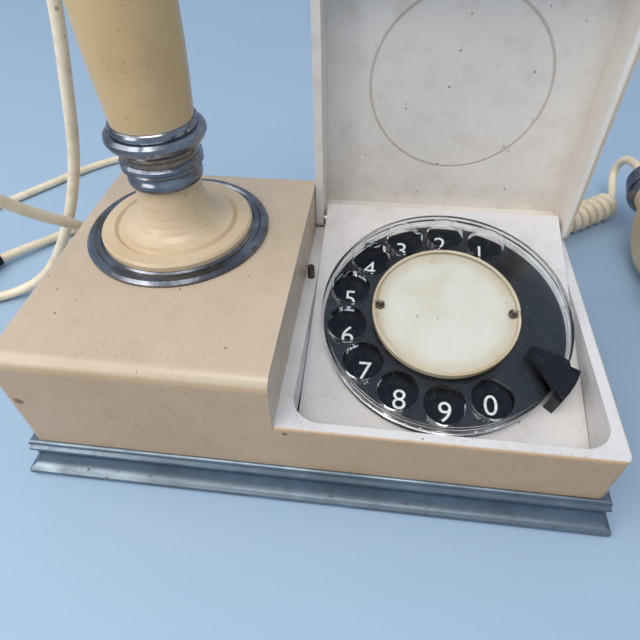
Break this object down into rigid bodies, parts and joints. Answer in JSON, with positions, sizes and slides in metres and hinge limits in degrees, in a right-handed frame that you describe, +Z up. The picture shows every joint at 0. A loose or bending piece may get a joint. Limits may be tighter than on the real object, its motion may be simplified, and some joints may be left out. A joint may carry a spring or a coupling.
{
  "type": "table telephone",
  "caption": "Box telephone with a turned column and cradle, a sloping rotary dial in a lidded tray, a moulded metal plinth and a handset lying beside it on a curly cord.",
  "frame": {"origin": "centre of the box's underside, on the surface it stands on, at the foot of the rubber feet", "axes": "+X to the right along the front, towards the dial; +Y to the back, towards the lid's hinge; +Z up"},
  "size_m": [0.3902, 0.2419, 0.23],
  "materials": {
    "cream_shell": "satin, aged",
    "tray_plastic": "satin",
    "plinth_metal": "worn nickel plate with a moulded edge",
    "dark_metal": "darkened nickel, worn at the edges",
    "clear_plastic": "clear, lightly scratched",
    "black_plastic": "gloss",
    "label_paper": "matt card",
    "steel": "satin",
    "brass": "satin",
    "rubber": "matt",
    "copper_coil": "lacquered winding",
    "board": "phenolic board",
    "cord_sheath": "satin vinyl"
  },
  "bodies": {
    "base": {"housing": "cream_shell", "plinth": "plinth_metal", "base_plate": "steel", "base_screws": "steel", "rubber_feet": "rubber", "dial_deck": "tray_plastic", "number_plate": "black_plastic", "finger_stop": "black_plastic", "dial_frame": "steel", "dial_screws": "steel", "return_spring": "steel", "pulse_contacts": "black_plastic", "hinge_pins": "steel", "plunger_spring": "steel", "lid_switch": "black_plastic", "escutcheon_ring": "dark_metal", "column_foot": "cream_shell", "lower_collar": "dark_metal", "column_shaft": "cream_shell", "upper_collar": "dark_metal", "cradle_head": "cream_shell", "column_tube": "steel", "column_nut": "steel", "hook_spring": "steel", "hook_bracket": "steel", "hook_switch": "black_plastic", "ringer_frame": "steel", "ringer_coil": "copper_coil", "gongs": "brass", "gong_screws": "steel", "circuit_board": "board", "capacitor": "board", "transformer": "copper_coil", "terminal_block": "black_plastic", "cord_grommets": "rubber", "line_cord": "cord_sheath", "line_plug": "black_plastic", "handset_cord": "cord_sheath"},
    "dial": {"finger_wheel": "clear_plastic", "label_cup": "cream_shell", "label_card": "label_paper", "label_cover": "clear_plastic", "dial_shaft": "steel", "dial_gear": "brass", "pulse_cam": "brass"},
    "governor": {"governor_pinion": "brass", "governor_weights": "brass"},
    "lid": {"lid": "cream_shell"},
    "plunger": {"lid_plunger": "steel"},
    "hook": {"hook_rod": "steel", "cradle_yoke": "dark_metal"},
    "clapper": {"clapper": "steel"},
    "handset": {"handset_ferrule": "dark_metal", "mouth_body": "cream_shell", "mouth_cap": "cream_shell", "capsules": "steel", "handle": "cream_shell", "handle_rings": "dark_metal", "ear_body": "cream_shell", "ear_cap": "cream_shell"}
  },
  "joints": [
    {"name": "dial_turn", "type": "hinge", "parent": "base", "child": "dial", "pos_m": [0.03976, -0.00112, 0.0371], "axis": [0, -0.2504, 0.9681], "range_deg": [-325, 0], "stiffness_Nm_per_rad": 0.006, "springref_deg": 34.38},
    {"name": "governor_spin", "type": "hinge", "parent": "base", "child": "governor", "pos_m": [0.06076, -0.00112, 0.0371], "axis": [0, -0.2504, 0.9681], "range_deg": [-20, 1400]},
    {"name": "lid_hinge", "type": "hinge", "parent": "base", "child": "lid", "pos_m": [0.0393, 0.0462, 0.0383], "axis": [1, 0, 0], "range_deg": [0, 90]},
    {"name": "plunger_slide", "type": "slide", "parent": "base", "child": "plunger", "axis": [0, 0, -1], "range_m": [0, 0.0048], "deforming": ["plunger_spring"]},
    {"name": "hook_slide", "type": "slide", "parent": "base", "child": "hook", "axis": [0, 0, -1], "range_m": [0, 0.005], "stiffness_N_per_m": 250, "springref_m": -0.006, "deforming": ["hook_spring"]},
    {"name": "clapper_swing", "type": "hinge", "parent": "base", "child": "clapper", "pos_m": [-0.0485, -0.015, 0.019], "axis": [0, 0, 1], "range_deg": [-3, 3], "stiffness_Nm_per_rad": 0.0002},
    {"name": "handset_lift", "type": "slide", "parent": "base", "child": "handset", "axis": [0, 0, 1], "range_m": [0, 0.25]}
  ],
  "couplings": [
    {"joint": "governor_spin", "follows": "dial_turn", "ratio": -4},
    {"joint": "plunger_slide", "follows": "lid_hinge", "m_per_rad": 0.002992}
  ]
}
